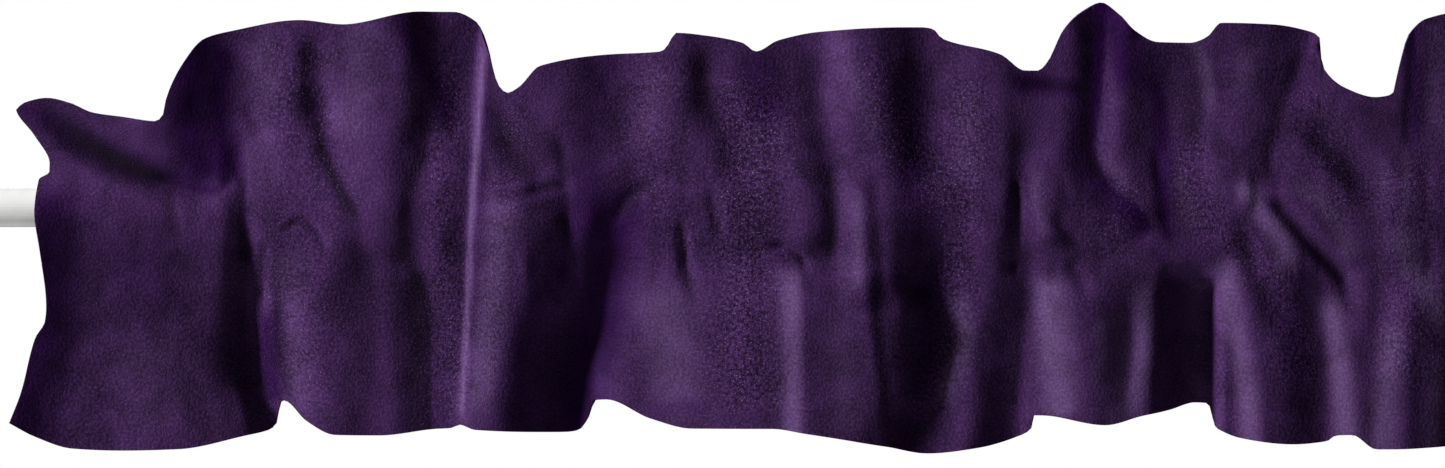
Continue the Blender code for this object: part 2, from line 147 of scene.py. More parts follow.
# Folds. A path runs downwards, or from left to right. push is the height of the
# crest towards the room, and a trough is below zero. before and after are the
# widths to the left and to the right of the path, or below and above it. keen is
# 0 for a round crest and 1 for a crease, and lean carries the crest to the right.
# enter and leave are the lengths over which the fold grows and dies away.
Fold = namedtuple("Fold", "path push before after keen lean enter leave")
FOLDS = [
    # Left panel, with its flared side and the drooping end of the heading
    Fold([(40, 30), (42, -10), (48, -66), (42, -92), (32, -128), (24, -158), (18, -190)],
         9, 26, 52, 0, 0, 40, 0),
    Fold([(60, 30), (62, -10), (64, -66), (46, -128), (26, -190)], 8, 30, 130, 0, 0, 50, 0),
    Fold([(140, -20), (146, -80), (150, -190)], 3, 46, 40, 0, 0, 50, 0),
    Fold([(52, 76), (70, 63), (88, 48), (106, 36), (130, 25), (160, 19), (200, 9)],
         -5, 16, 18, 0, 0, 60, 44),
    # First standing fold of the heading, and the valley beside it
    Fold([(140, 130), (140, 84), (142, 40)], 8, 26, 66, 0, 0, 0, 44),
    Fold([(208, 136), (206, 80), (202, 34), (206, 2)], -6, 56, 36, 0, 0, 0, 20),
    Fold([(203, 60), (202, 30), (206, 0), (207, -40)], -3, 15, 12, 0.2, 0, 30, 14),
    Fold([(205, 4), (210, -60), (214, -110), (225, -150), (230, -190)], -9, 20, 16, 0, 1, 60, 0),
    Fold([(206, -26), (212, -70), (218, -110), (228, -150), (232, -190)], -8, 42, 44, 0, 0, 80, 0),
    # Second panel
    Fold([(262, -10), (264, -60), (262, -120), (266, -190)], 5, 34, 44, 0, 0, 34, 0),
    Fold([(257, 128), (257, 96), (260, 66), (262, 44)], -2.8, 18, 15, 0, 0, 18, 18),
    Fold([(264, 88), (264, 68), (262, 48)], -2.5, 28, 15, 0, 0, 22, 18),
    Fold([(257, 60), (267, 34), (281, 6), (290, -22), (294, -70)], -2, 16, 28, 0.1, 0, 22, 54),
    Fold([(314, 145), (312, 60), (304, 10), (298, -44)], 4.8, 50, 30, 0, 0, 0, 44),
    Fold([(338, 145), (343, 100), (340, 60), (327, 30), (320, 0)], -2.8, 27, 30, 0, 0, 0, 30),
    Fold([(326, 30), (322, 0), (326, -34), (334, -64), (335, -120), (337, -190)],
         -4, 30, 24, 0, 0, 76, 0),
    Fold([(371, 136), (366, 90), (365, 20)], -6, 60, 10, 0.1, 0, 0, 76),
    Fold([(373, 136), (366, 70), (364, 20), (361, -40), (359, -90), (355, -190)],
         -4, 26, 8, 0.3, 0, 0, 0),
    # Third panel and the deep valley right of it
    Fold([(396, 40), (394, -20), (391, -60), (384, -120), (378, -190)], 7, 34, 42, 0, 0, 50, 0),
    Fold([(374, 84), (388, 52), (402, 30), (430, 17)], -3.5, 19, 19, 0, 0, 30, 18),
    Fold([(426, 62), (429, 24), (431, -14), (429, -64)], -1.6, 28, 20, 0, 0, 30, 30),
    Fold([(500, 20), (484, 12), (472, 1), (464, -14), (459, -60), (451, -92), (443, -122), (437, -190)],
         -6, 21, 32, 0, 0, 70, 0),
    Fold([(464, -10), (461, -36), (457, -60), (448, -92), (440, -122), (434, -190)],
         -13, 58, 44, 0, 0, 90, 0),
    Fold([(474, 120), (470, 70), (466, 26)], -5.5, 48, 46, 0, 0, 0, 34),
    Fold([(472, -30), (462, -90), (452, -130), (446, -190)], 3, 10, 30, 0, 0, 40, 0),
    # Fourth panel
    Fold([(562, -24), (568, -100), (572, -190)], 14, 98, 200, 0, 0, 60, 0),
    Fold([(508, 132), (510, 90), (512, 50)], 2.5, 36, 24, 0, 0, 0, 34),
    Fold([(530, 122), (530, 84), (537, 60), (550, 40), (562, 8)], -2.9, 20, 26, 0, 0, 30, 22),
    Fold([(606, 134), (608, 92), (604, 44)], -6, 62, 30, 0, 0, 0, 36),
    Fold([(586, 80), (596, 36), (601, 0), (602, -38)], 3.5, 22, 26, 0, 0, 26, 20),
    Fold([(604, 70), (618, 30), (623, 0), (620, -26), (610, -56)], -2, 20, 22, 0, 0, 36, 36),
    Fold([(597, -36), (600, -90), (601, -190)], 6.5, 20, 90, 0, 0, 24, 0),
    Fold([(634, 34), (637, -30), (640, -76)], 4, 20, 15, 0, 0, 26, 20),
    # Wide main valley
    Fold([(632, 135), (640, 100), (650, 60), (653, 10), (650, -40), (652, -100), (656, -190)],
         6.5, 38, 46, 0, 0, 0, 0),
    Fold([(690, 134), (684, 80), (688, 40), (694, 0)], -4.2, 38, 36, 0, 0, 0, 40),
    Fold([(696, 20), (695, -60), (688, -106), (676, -146), (664, -190)], -9, 38, 54, 0, 0, 96, 0),
    # Fifth panel and its valley
    Fold([(738, 106), (733, 60), (734, 20), (730, -20), (720, -56), (711, -100), (698, -190)],
         3.6, 42, 34, 0, 0, 0, 0),
    Fold([(754, 70), (751, 30), (748, -4), (744, -54)], -2.6, 17, 24, 0.1, 0, 44, 18),
    Fold([(756, -10), (756, -60), (750, -100), (744, -190)], -6.5, 36, 22, 0, 0, 70, 0),
    Fold([(720, 104), (754, 88), (800, 82)], -3, 18, 22, 0, 0, 40, 30),
    Fold([(764, 140), (800, 156), (842, 136)], 7, 40, 12, 0, 0, 12, 12),
    Fold([(812, 150), (808, 100), (804, 60), (802, 36), (811, 14), (828, -6)], -4, 28, 18, 0, 0, 10, 26),
    # Sixth panel
    Fold([(766, 44), (764, 0), (768, -30)], 2, 14, 30, 0, 0, 16, 10),
    Fold([(861, 120), (857, 60), (856, 30), (856, 0), (859, -34)], -5.4, 42, 64, 0, 0, 28, 30),
    Fold([(792, -34), (794, -90), (796, -190)], 11, 38, 60, 0, 0, 36, 0),
    Fold([(822, -58), (825, -98), (818, -144)], -2, 24, 16, 0, 0, 30, 26),
    Fold([(838, -50), (841, -90), (837, -190)], 3, 18, 12, 0, 0, 20, 0),
    # Recess under the pocket, and the flap that hangs in front of it
    Fold([(836, -15), (850, -28), (866, -38), (896, -49)], 3, 12, 30, 0.1, 0, 16, 20),
    Fold([(868, -36), (866, -190)], -17, 24, 22, 0, 0, 16, 0),
    Fold([(884, -46), (883, -190)], -16, 22, 9, 0.1, 0, 12, 0),
    Fold([(890, 140), (887, 90), (888, 30), (889, -10)], 1.6, 14, 52, 0, 0, 0, 34),
    Fold([(905, -22), (908, -50), (914, -80), (919, -110), (922, -190)], 9, 24, 66, 0, 0, 34, 0),
    Fold([(905, 6), (909, -24), (922, -58), (940, -100)], -2.5, 16, 16, 0, 0, 20, 40),
    Fold([(948, -44), (956, -80), (959, -110), (960, -190)], -2.4, 30, 16, 0, 0, 34, 0),
    Fold([(958, 132), (946, 95), (935, 76), (929, 50), (927, 28), (934, 4)], -3, 34, 26, 0, 0, 10, 26),
    Fold([(940, 70), (966, 46), (984, 26), (1006, -8)], -4.5, 20, 22, 0, 0, 34, 30),
    Fold([(918, 14), (935, -5), (950, -22), (964, -36), (977, -52), (984, -90)],
         -3.4, 11, 13, 0.1, 0, 22, 30),
    Fold([(984, -40), (985, -90), (986, -130), (986, -190)], 7.5, 23, 60, 0, 0, 40, 0),
    # Last panel in view, and the plain right-hand end
    Fold([(1012, 50), (1010, 0), (1008, -60)], 3, 18, 30, 0, 0, 26, 26),
    Fold([(1046, 140), (1044, 90), (1040, 30)], -4, 36, 28, 0, 0, 0, 30),
    Fold([(1024, -40), (1023, -120), (1020, -190)], 10, 28, 66, 0, 0, 40, 0),
    Fold([(1080, 150), (1080, 0), (1072, -190)], -9, 36, 34, 0, 0, 0, 0),
    Fold([(1116, 150), (1112, 0), (1122, -190)], 7, 30, 34, 0, 0, 0, 0),
]

# Fine creases and tucks of the cloth, in the same terms as the folds
CREASES = [
    Fold([(140, 22), (165, 16), (188, 11), (198, 22)], -2, 6, 9, 0.2, 0, 14, 8),
    Fold([(152, 16), (157, -4), (162, -28)], -1, 10, 8, 0.1, 0, 10, 14),
    Fold([(205, -40), (205, -90), (203, -140)], -3, 26, 9, 0, 0, 24, 20),
    Fold([(214, -56), (221, -104), (227, -150)], 2.5, 13, 18, 0, 0, 20, 10),
    Fold([(206, 78), (214, 58), (222, 40)], -1.6, 10, 10, 0, 0, 14, 14),
    Fold([(222, -20), (219, -46), (215, -84)], -3, 7, 7, 0.2, 0, 14, 22),
    Fold([(234, -18), (246, -10), (258, -16), (264, -36)], -1.6, 5, 6, 0.1, 0, 10, 12),
    Fold([(424, 10), (424, -20), (420, -56), (411, -90)], 2.6, 32, 14, 0, 0, 24, 34),
    Fold([(694, 32), (694, 0), (692, -34)], 2.5, 26, 20, 0, 0, 24, 24),
    Fold([(940, 120), (930, 90), (920, 60), (916, 40)], 1.4, 32, 14, 0, 0, 16, 16),
    Fold([(388, 6), (412, 9), (436, 16)], -2.4, 6, 9, 0.3, 0, 16, 8),
    Fold([(425, 58), (429, 24), (431, 0), (430, -28), (428, -56)], -1.2, 10, 7, 0.3, 0, 18, 18),
    Fold([(464, -14), (472, 2), (482, 11), (500, 20)], -2.2, 6, 9, 0.3, 0, 12, 12),
    Fold([(531, 18), (536, 0), (539, -26)], -2.2, 7, 5, 0.3, 0, 14, 12),
    Fold([(512, -6), (514, -28), (517, -48), (526, -70)], -2.4, 8, 6, 0.2, 0, 14, 16),
    Fold([(568, -28), (586, -28), (597, -37), (599, -52)], -2.6, 5, 6, 0.3, 0, 12, 12),
    Fold([(642, -54), (646, -95), (650, -125), (656, -180)], 1, 12, 5, 0.2, 0, 14, 0),
    Fold([(674, -52), (677, -100), (669, -150)], 6, 28, 20, 0, 0, 24, 20),
    Fold([(906, 2), (922, -22), (936, -44)], -1.2, 8, 14, 0, 0, 12, 14),
    Fold([(747, 26), (747, 0), (744, -52)], -2, 7, 5, 0.4, 0, 16, 16),
    Fold([(772, 0), (781, -16), (794, -32)], -1.6, 10, 10, 0, 0, 12, 12),
    Fold([(782, -34), (790, -48), (798, -66)], -1.8, 9, 8, 0, 0, 12, 14),
    Fold([(845, 50), (847, 24), (850, 0), (854, -28)], -1.6, 9, 7, 0.2, 0, 20, 20),
    Fold([(904, 30), (907, 10), (904, -8)], 1.8, 8, 8, 0, 0, 12, 12),
    Fold([(924, 9), (937, -7), (951, -23), (964, -37), (976, -50), (980, -68)], -1, 7, 6, 0.1, 0, 14, 20),
    Fold([(928, 50), (925, 28), (932, 10)], -1, 8, 8, 0.2, 0, 14, 12),
    Fold([(959, 124), (955, 100)], 2, 5, 8, 0, 0, 4, 10),
    Fold([(1026, 128), (1024, 90), (1021, 36)], -1.2, 8, 6, 0.2, 0, 0, 18),
]

# Painted shade: where the folds lie in shade, the colour is mixed towards deep purple. push
# is the share of the change, and the other columns are the folds' own.
DEEP_SHADE_PAINT = [
    Fold([(66, 20), (68, -60), (54, -130), (46, -190)], 0.75, 12, 44, 0, 0, 20, 0),
    Fold([(46, 72), (70, 60), (92, 48), (116, 35), (140, 24), (158, 10)], 0.6, 18, 16, 0, 0, 0, 24),
    Fold([(168, 124), (165, 84), (170, 44), (186, 6)], 0.9, 36, 30, 0, 0, 10, 24),
    Fold([(190, 120), (188, 80), (190, 40), (194, 14)], 0.85, 18, 18, 0, 0, 14, 14),
    Fold([(130, -10), (132, -56), (136, -96)], 0.35, 44, 40, 0, 0, 30, 30),
    Fold([(468, -60), (462, -90), (456, -124)], 0.7, 6, 13, 0, 0, 24, 12),
    Fold([(202, 50), (205, 20), (207, -20), (208, -50)], 0.6, 8, 5, 0, 0, 20, 16),
    Fold([(136, 24), (165, 16), (188, 11), (198, 26)], 0.6, 5, 8, 0, 0, 10, 8),
    Fold([(220, -66), (222, -104), (226, -140)], 0.95, 12, 18, 0, 0, 16, 8),
    Fold([(314, 134), (326, 112), (338, 88), (346, 66), (344, 46)], 0.75, 13, 13, 0, 0, 0, 16),
    Fold([(377, 104), (373, 50), (370, 0), (367, -60), (362, -150)], 0.45, 3, 5, 0, 0, 12, 12),
    Fold([(425, 54), (428, 28), (431, 2), (431, -30), (427, -60)], 0.6, 7, 5, 0, 0, 14, 14),
    Fold([(420, -10), (414, -60), (404, -100), (398, -150)], 0.45, 28, 22, 0, 0, 30, 0),
    Fold([(440, 40), (444, 0), (440, -40)], 0.4, 16, 20, 0, 0, 16, 16),
    Fold([(456, 116), (452, 76), (446, 34), (444, -20)], 0.4, 24, 24, 0, 0, 10, 20),
    Fold([(496, 18), (476, 5), (464, -16), (458, -50), (450, -92), (440, -130), (434, -190)],
         0.9, 42, 40, 0, 0, 40, 0),
    Fold([(562, 112), (568, 84), (584, 50)], 0.55, 26, 26, 0, 0, 12, 20),
    Fold([(670, 112), (670, 60), (676, 0), (680, -50)], 0.55, 22, 22, 0, 0, 24, 30),
    Fold([(682, -30), (684, -70), (680, -110), (670, -150), (664, -190)], 0.6, 16, 17, 0, 0, 30, 0),
    Fold([(690, 10), (694, -40), (692, -80)], 0.3, 16, 16, 0, 0, 20, 20),
    Fold([(736, 90), (768, 86), (800, 82)], 0.8, 14, 12, 0, 0, 16, 10),
    Fold([(810, 150), (806, 100), (802, 60), (800, 36), (811, 14), (830, -2), (843, -22)],
         0.95, 28, 5, 0, 0, 0, 10),
    Fold([(814, 150), (816, 112), (822, 72)], 0.9, 8, 40, 0, 0, 0, 22),
    Fold([(844, 98), (849, 50), (850, 10), (853, -28)], 0.85, 14, 11, 0, 0, 20, 10),
    Fold([(812, -74), (813, -104), (808, -138)], 0.4, 19, 17, 0, 0, 14, 14),
    Fold([(930, -56), (942, -96), (944, -150)], 0.35, 16, 18, 0, 0, 20, 10),
    Fold([(1024, 134), (1026, 90), (1024, 36)], 0.7, 7, 9, 0, 0, 4, 20),
    Fold([(838, -20), (846, -34), (856, -42)], 0.5, 8, 8, 0, 0, 8, 8),
]

# Painted shade: where the cloth lies deepest in shade, the colour is mixed towards almost black, in the
# same terms
DARK_SHADE_PAINT = [
    Fold([(56, 70), (72, 62), (90, 50), (106, 39), (126, 28), (148, 17), (158, 4)],
         0.9, 20, 16, 0, 0, 50, 24),
    Fold([(152, 18), (157, -4), (162, -28)], 0.4, 8, 6, 0, 0, 8, 12),
    Fold([(205, 30), (205, 6), (205, -20), (206, -46)], 0.6, 7, 5, 0, 0, 20, 16),
    Fold([(205, -10), (204, -40), (202, -80), (200, -130)], 0.4, 20, 8, 0, 0, 26, 30),
    Fold([(218, -26), (217, -56), (214, -90)], 0.4, 4, 5, 0, 0, 10, 16),
    Fold([(250, 116), (250, 90), (248, 66)], 0.25, 10, 10, 0, 0, 12, 12),
    Fold([(246, 90), (244, 62)], 0.4, 10, 14, 0, 0, 12, 6),
    Fold([(254, 64), (262, 36), (270, 18), (280, 2), (288, -16)], 0.75, 8, 7, 0, 0, 8, 16),
    Fold([(228, -20), (236, -12), (247, -12), (255, -22)], 0.4, 5, 5, 0, 0, 8, 8),
    Fold([(338, 46), (326, 26), (319, 4), (319, -30), (328, -54)], 0.6, 9, 8, 0, 0, 14, 10),
    Fold([(322, -40), (333, -64), (334, -120), (336, -190)], 0.75, 32, 5, 0, 0, 14, 0),
    Fold([(377, 76), (385, 54), (395, 32), (405, 16)], 0.5, 9, 15, 0, 0, 12, 12),
    Fold([(392, 9), (412, 13), (426, 22)], 0.5, 5, 5, 0, 0, 12, 6),
    Fold([(424, 52), (430, 26), (432, 0), (431, -34)], 0.4, 6, 5, 0, 0, 14, 16),
    Fold([(464, -14), (472, 0), (482, 9), (499, 19)], 0.45, 6, 6, 0, 0, 8, 10),
    Fold([(522, 116), (526, 84), (535, 54)], 0.3, 10, 13, 0, 0, 14, 14),
    Fold([(526, 84), (536, 56), (541, 36), (537, 14)], 0.35, 7, 7, 0, 0, 10, 10),
    Fold([(538, 18), (539, -24)], 0.6, 5, 4, 0, 0, 12, 10),
    Fold([(512, -6), (514, -28), (518, -48), (528, -64)], 0.45, 7, 5, 0, 0, 10, 12),
    Fold([(588, 42), (603, 16), (615, -2), (619, -20), (610, -44)], 0.4, 5, 5, 0, 0, 14, 8),
    Fold([(600, 112), (600, 86), (606, 56)], 0.55, 15, 15, 0, 0, 14, 16),
    Fold([(606, 34), (615, 14), (618, -8), (612, -36)], 0.5, 10, 9, 0, 0, 16, 12),
    Fold([(598, -44), (601, -64)], 0.45, 7, 8, 0, 0, 8, 10),
    Fold([(643, -58), (647, -88), (651, -118), (657, -170)], 0.4, 5, 8, 0, 0, 10, 0),
    Fold([(742, 78), (744, 56), (748, 30)], 0.35, 12, 10, 0, 0, 14, 14),
    Fold([(748, 34), (747, 0), (744, -52)], 0.35, 6, 5, 0, 0, 10, 8),
    Fold([(752, -54), (748, -100), (745, -144)], 0.55, 8, 5, 0, 0, 12, 10),
    Fold([(730, -66), (722, -100), (722, -136)], 0.35, 8, 9, 0, 0, 12, 12),
    Fold([(742, 88), (768, 86), (800, 83)], 0.5, 9, 8, 0, 0, 14, 10),
    Fold([(797, 130), (796, 80), (798, 40), (808, 14)], 0.75, 14, 7, 0, 0, 14, 14),
    Fold([(874, 98), (873, 70), (868, 42)], 0.45, 15, 10, 0, 0, 14, 14),
    Fold([(946, 114), (935, 82), (925, 52), (920, 34), (929, 18)], 0.3, 15, 5, 0, 0, 14, 8),
    Fold([(924, 8), (940, -9), (956, -26), (972, -43), (979, -62)], 0.4, 5, 6, 0, 0, 8, 12),
    Fold([(901, -4), (905, -22), (912, -46), (922, -74)], 0.25, 9, 7, 0, 0, 8, 14),
    Fold([(954, 54), (966, 40), (978, 22), (984, 6)], 0.3, 12, 12, 0, 0, 12, 12),
    Fold([(994, 24), (998, -10), (998, -50), (992, -86)], 0.35, 13, 12, 0, 0, 16, 16),
]

# Painted highlight: where the cloth faces the light, the colour is mixed towards a pale tone, in the same
# terms
HIGHLIGHT_PAINT = [
    Fold([(120, -80), (136, -116), (140, -160)], 0.15, 40, 50, 0, 0, 40, 10),
    Fold([(214, 124), (220, 90), (226, 60)], 0.3, 16, 18, 0, 0, 14, 20),
    Fold([(290, 134), (286, 90), (280, 40)], 0.35, 24, 22, 0, 0, 14, 20),
    Fold([(322, 88), (322, 58)], 0.4, 9, 8, 0, 0, 12, 12),
    Fold([(234, -24), (236, -80), (240, -150)], 0.25, 12, 22, 0, 0, 14, 20),
    Fold([(374, 116), (370, 50), (366, 0), (363, -60), (358, -150)], 0.85, 4, 4, 0, 0, 10, 10),
    Fold([(390, 10), (384, -30), (377, -90), (370, -150)], 0.5, 18, 18, 0, 0, 14, 20),
    Fold([(490, -44), (500, -84), (508, -140)], 0.6, 26, 34, 0, 0, 26, 10),
    Fold([(500, 100), (488, 60), (484, 30)], 0.15, 16, 16, 0, 0, 14, 14),
    Fold([(592, -38), (593, -100), (593, -165)], 0.6, 24, 6, 0, 0, 10, 10),
    Fold([(620, 120), (632, 96), (644, 68), (648, 40)], 0.2, 16, 12, 0, 0, 6, 20),
    Fold([(636, 14), (637, -20), (638, -60)], 0.5, 9, 6, 0, 0, 14, 12),
    Fold([(620, -70), (624, -110), (630, -160)], 0.25, 20, 16, 0, 0, 14, 14),
    Fold([(712, 90), (712, 50), (710, 10)], 0.2, 14, 16, 0, 0, 14, 14),
    Fold([(704, -56), (708, -96), (692, -140)], 0.9, 11, 14, 0, 0, 14, 14),
    Fold([(764, -44), (770, -90), (776, -150)], 0.9, 14, 24, 0, 0, 14, 8),
    Fold([(759, 30), (761, 0), (767, -24)], 0.4, 6, 10, 0, 0, 12, 10),
    Fold([(836, -46), (836, -90), (826, -140), (806, -152)], 0.7, 14, 12, 0, 0, 16, 8),
    Fold([(810, -72), (812, -104), (806, -136)], 0.8, 18, 22, 0, 0, 14, 14),
    Fold([(804, 34), (816, 22), (830, 10)], 0.3, 5, 14, 0, 0, 6, 12),
    Fold([(868, 122), (880, 98), (886, 60)], 0.6, 11, 6, 0, 0, 3, 20),
    Fold([(906, 116), (908, 70)], 0.3, 14, 14, 0, 0, 10, 20),
    Fold([(859, 30), (863, 10), (872, -20)], 0.3, 10, 12, 0, 0, 14, 14),
    Fold([(873, -48), (871, -150)], 0.4, 16, 14, 0, 0, 12, 0),
    Fold([(890, -30), (898, -80), (907, -130), (910, -165)], 0.75, 11, 14, 0, 0, 16, 0),
    Fold([(902, 22), (916, 0), (931, -22), (937, -50)], 0.95, 13, 13, 0, 0, 12, 16),
    Fold([(938, 14), (958, 2), (974, -24), (980, -40)], 0.6, 7, 14, 0, 0, 12, 10),
    Fold([(962, -56), (971, -100), (978, -160)], 0.85, 14, 14, 0, 0, 16, 0),
    Fold([(1018, 46), (1018, 10), (1014, -14)], 0.5, 4, 5, 0, 0, 14, 10),
    Fold([(1010, -8), (1019, -34), (1032, -58), (1046, -84)], 0.8, 14, 16, 0, 0, 16, 0),
    Fold([(1040, 132), (1038, 84), (1036, 40)], 0.3, 9, 14, 0, 0, 6, 20),
    Fold([(1046, -96), (1042, -130), (1038, -170)], 0.45, 16, 22, 0, 0, 14, 0),
    Fold([(1010, -74), (1006, -110), (1000, -165)], 0.7, 15, 16, 0, 0, 20, 0),
]

# Where the pile is roughened into coarse specks, in the same terms
COARSE = [
    Fold([(244, 130), (240, 80), (250, 20), (244, -60), (250, -150)], 0.45, 44, 50, 0, 0, 20, 20),
    Fold([(346, 120), (350, 60), (346, 10), (350, -80), (350, -160)], 0.7, 26, 20, 0, 0, 20, 20),
    Fold([(400, 96), (390, 20), (384, -60), (374, -140)], 0.5, 24, 24, 0, 0, 20, 20),
    Fold([(500, 110), (488, 60), (500, 0), (520, -60)], 0.5, 36, 36, 0, 0, 16, 30),
    Fold([(560, 100), (562, 50), (556, 0), (556, -60), (560, -150)], 1.0, 40, 46, 0, 0, 16, 20),
    Fold([(640, 116), (660, 60), (680, 20), (690, -20)], 0.75, 30, 40, 0, 0, 16, 30),
    Fold([(712, 96), (714, 40), (704, -40), (700, -110), (680, -150)], 0.75, 26, 26, 0, 0, 16, 16),
    Fold([(818, 30), (822, 0), (812, -44)], 0.6, 30, 30, 0, 0, 16, 16),
    Fold([(866, 60), (870, 10), (890, -20), (930, -60), (940, -130)], 0.75, 26, 30, 0, 0, 20, 20),
    Fold([(950, 96), (956, 60), (970, 10), (984, -20)], 0.65, 28, 34, 0, 0, 20, 20),
    Fold([(1014, 40), (1020, -40), (1014, -130)], 0.75, 34, 40, 0, 0, 20, 20),
]

# The painted shade, painted highlight and coarse pile marks, by the names of the mesh attributes that
# carry them
PAINTED_LIGHT_AND_PILE_MARKS = {"painted_deep_shade": DEEP_SHADE_PAINT, "painted_dark_shade": DARK_SHADE_PAINT, "painted_highlight": HIGHLIGHT_PAINT, "coarse": COARSE}


def through(knots, at):
    """A smooth line through the knots' two columns that never passes a knot's value."""
    x = np.array([k[0] for k in knots], float)
    y = np.array([k[1] for k in knots], float)
    if x[0] > x[-1]:
        x, y = x[::-1], y[::-1]
    run, rise = np.diff(x), np.diff(y)
    chord = rise / run
    slope = np.zeros(len(x))
    same_way = chord[:-1] * chord[1:] > 0
    before, after = chord[:-1][same_way], chord[1:][same_way]
    slope[1:-1][same_way] = 2 * before * after / (before + after)
    slope[0], slope[-1] = chord[0], chord[-1]
    at = np.clip(at, x[0], x[-1])
    i = np.clip(np.searchsorted(x, at) - 1, 0, len(run) - 1)
    t = (at - x[i]) / run[i]
    return (
        y[i] * (1 + 2 * t) * (1 - t) ** 2
        + slope[i] * run[i] * t * (1 - t) ** 2
        + y[i + 1] * t**2 * (3 - 2 * t)
        + slope[i + 1] * run[i] * t**2 * (t - 1)
    )


def ease(t):
    """0 below 0, 1 above 1, and smooth between."""
    t = np.clip(t, 0, 1)
    return t * t * (3 - 2 * t)


def smooth_noise(x, z, size_x, size_z, seed):
    """Smooth random values from -1 to 1 that change over size_x and size_z."""
    column, across = np.floor(x / size_x), (x / size_x) % 1
    row, up = np.floor(z / size_z), (z / size_z) % 1

    def corner(i, j):
        turn = (column + i) * 127.1 + (row + j) * 311.7 + seed * 74.7
        return 2 * np.modf(np.abs(np.sin(turn)) * 43758.5)[0] - 1

    across, up = ease(across), ease(up)
    low = corner(0, 0) * (1 - across) + corner(1, 0) * across
    high = corner(0, 1) * (1 - across) + corner(1, 1) * across
    return low * (1 - up) + high * up


def puckers(x, z):
    """Small gathers that run out of the two seams, and the cloth's own slight unevenness."""
    near_top = np.exp(-((z - TOP_SEAM_Z) / TOP_GATHERS_REACH) ** 2)
    near_low = np.exp(-((z - LOW_SEAM_Z) / LOW_GATHERS_REACH) ** 2)
    fine = smooth_noise(x, z, 6.5, 60, seed=3) + 0.6 * smooth_noise(x, z, 3.7, 45, seed=4)
    patches = 0.5 + 0.5 * smooth_noise(x, z, 55, 200, seed=6)
    gathers = SEAM_GATHERS * fine * patches * (near_top + near_low)
    broad = BROAD_WAVES * smooth_noise(x, z, 24, 52, seed=5)
    small = SMALL_WAVES * smooth_noise(x, z, 9, 12, seed=7)
    return gathers + broad + small


def rounded(path, steps=6):
    """The path's corners turned into a smooth line."""
    p = np.array(path, float)
    ends = np.vstack([2 * p[0] - p[1], p, 2 * p[-1] - p[-2]])
    t = np.linspace(0, 1, steps, endpoint=False)[:, None]
    runs = [
        0.5
        * (
            2 * b
            + (c - a) * t
            + (2 * a - 5 * b + 4 * c - d) * t**2
            + (3 * b - a - 3 * c + d) * t**3
        )
        for a, b, c, d in zip(ends, ends[1:], ends[2:], ends[3:])
    ]
    return np.vstack([*runs, p[-1:]])


def strength(fold, x, z):
    """The fold's share of its push at each point: 1 on its crest, 0 outside it."""
    line = rounded(fold.path)
    step = np.diff(line, axis=0)
    length = np.linalg.norm(step, axis=1)
    along = np.concatenate([[0], np.cumsum(length)])
    best = np.full(x.shape, np.inf)
    side = np.zeros(x.shape)
    place = np.zeros(x.shape)
    for (px, pz), (dx, dz), size, start in zip(line, step, length, along):
        t = np.clip(((x - px) * dx + (z - pz) * dz) / size**2, 0, 1)
        away_x, away_z = x - px - t * dx, z - pz - t * dz
        distance = np.hypot(away_x, away_z)
        nearer = distance < best
        best = np.where(nearer, distance, best)
        side = np.where(nearer, dx * away_z - dz * away_x, side)
        place = np.where(nearer, start + t * size, place)
    t = np.clip(best / np.where(side < 0, fold.before, fold.after), 0, 1)
    share = (1 - fold.keen) * (1 + np.cos(math.pi * t)) / 2 + fold.keen * (1 - t) ** 2
    if fold.enter:
        share = share * ease(place / fold.enter)
    if fold.leave:
        share = share * ease((along[-1] - place) / fold.leave)
    return share


def folded(x, z):
    """How far the cloth stands out at each point, and how far its folds carry it sideways."""
    out = through(FRONT_STAND, z)
    sideways = np.zeros(x.shape)
    for fold in (*FOLDS, *CREASES):
        share = strength(fold, x, z)
        out = out + fold.push * share
        sideways = sideways + fold.lean * share
    out = out + puckers(x, z)
    rod_front = np.sqrt(np.clip((CLEAR_RADIUS + FRONT_SLACK) ** 2 - z**2, 0, None))
    limit = rod_front + through(REAR_LIMIT, z)
    return SOFTEN * np.logaddexp(out / SOFTEN, limit / SOFTEN), sideways


def marked(strokes, x, z):
    """The share of a mark (painted shade, painted highlight, coarse pile) at each point, where the
    strokes overlay each other.
    """
    plain = np.ones(x.shape)
    for stroke in strokes:
        plain = plain * (1 - stroke.push * strength(stroke, x, z))
    return 1 - plain


def placed(u, z):
    """The cloth's x where a column that starts at u on the pocket passes height z."""
    left = through(LEFT_SIDE, z) * (1 - ease((u - CLOTH_LEFT) / END_REACH))
    right = through(RIGHT_SIDE, z) * (1 - ease((CLOTH_RIGHT - u) / END_REACH))
    return u - left + right


def front_points(u, rows):
    """The front layer's x, distance in front of the rod's axis, and z, in rows from the hem up."""
    hem = through(HEM_EDGE, placed(u, np.full(u.shape, HEM_EDGE[0].z)))
    edge = through(HEADING_EDGE, placed(u, np.full(u.shape, HEADING_EDGE[0].z)))
    skirt_rows, pocket_rows, heading_rows = rows
    skirt = np.linspace(0, 1, skirt_rows, endpoint=False)[:, None]
    pocket = np.linspace(LOW_SEAM_Z, TOP_SEAM_Z, pocket_rows, endpoint=False)[:, None]
    heading = np.linspace(0, 1, heading_rows)[:, None]
    z = np.vstack([
        hem + (LOW_SEAM_Z - hem) * skirt,
        pocket + 0 * hem,
        TOP_SEAM_Z + (edge - TOP_SEAM_Z) * heading,
    ])
    x = placed(u, z)
    out, sideways = folded(x, z)
    return x + sideways, out, z


def spaced_columns(count):
    """Where the columns start on the pocket, evenly spaced along the gathered cloth."""
    u = np.linspace(CLOTH_LEFT, CLOTH_RIGHT, COLUMN_TRIALS)
    along = walked(np.stack(front_points(u, TRIAL_ROWS)), 2)
    return np.interp(np.linspace(0, along[-1], count), along, u)


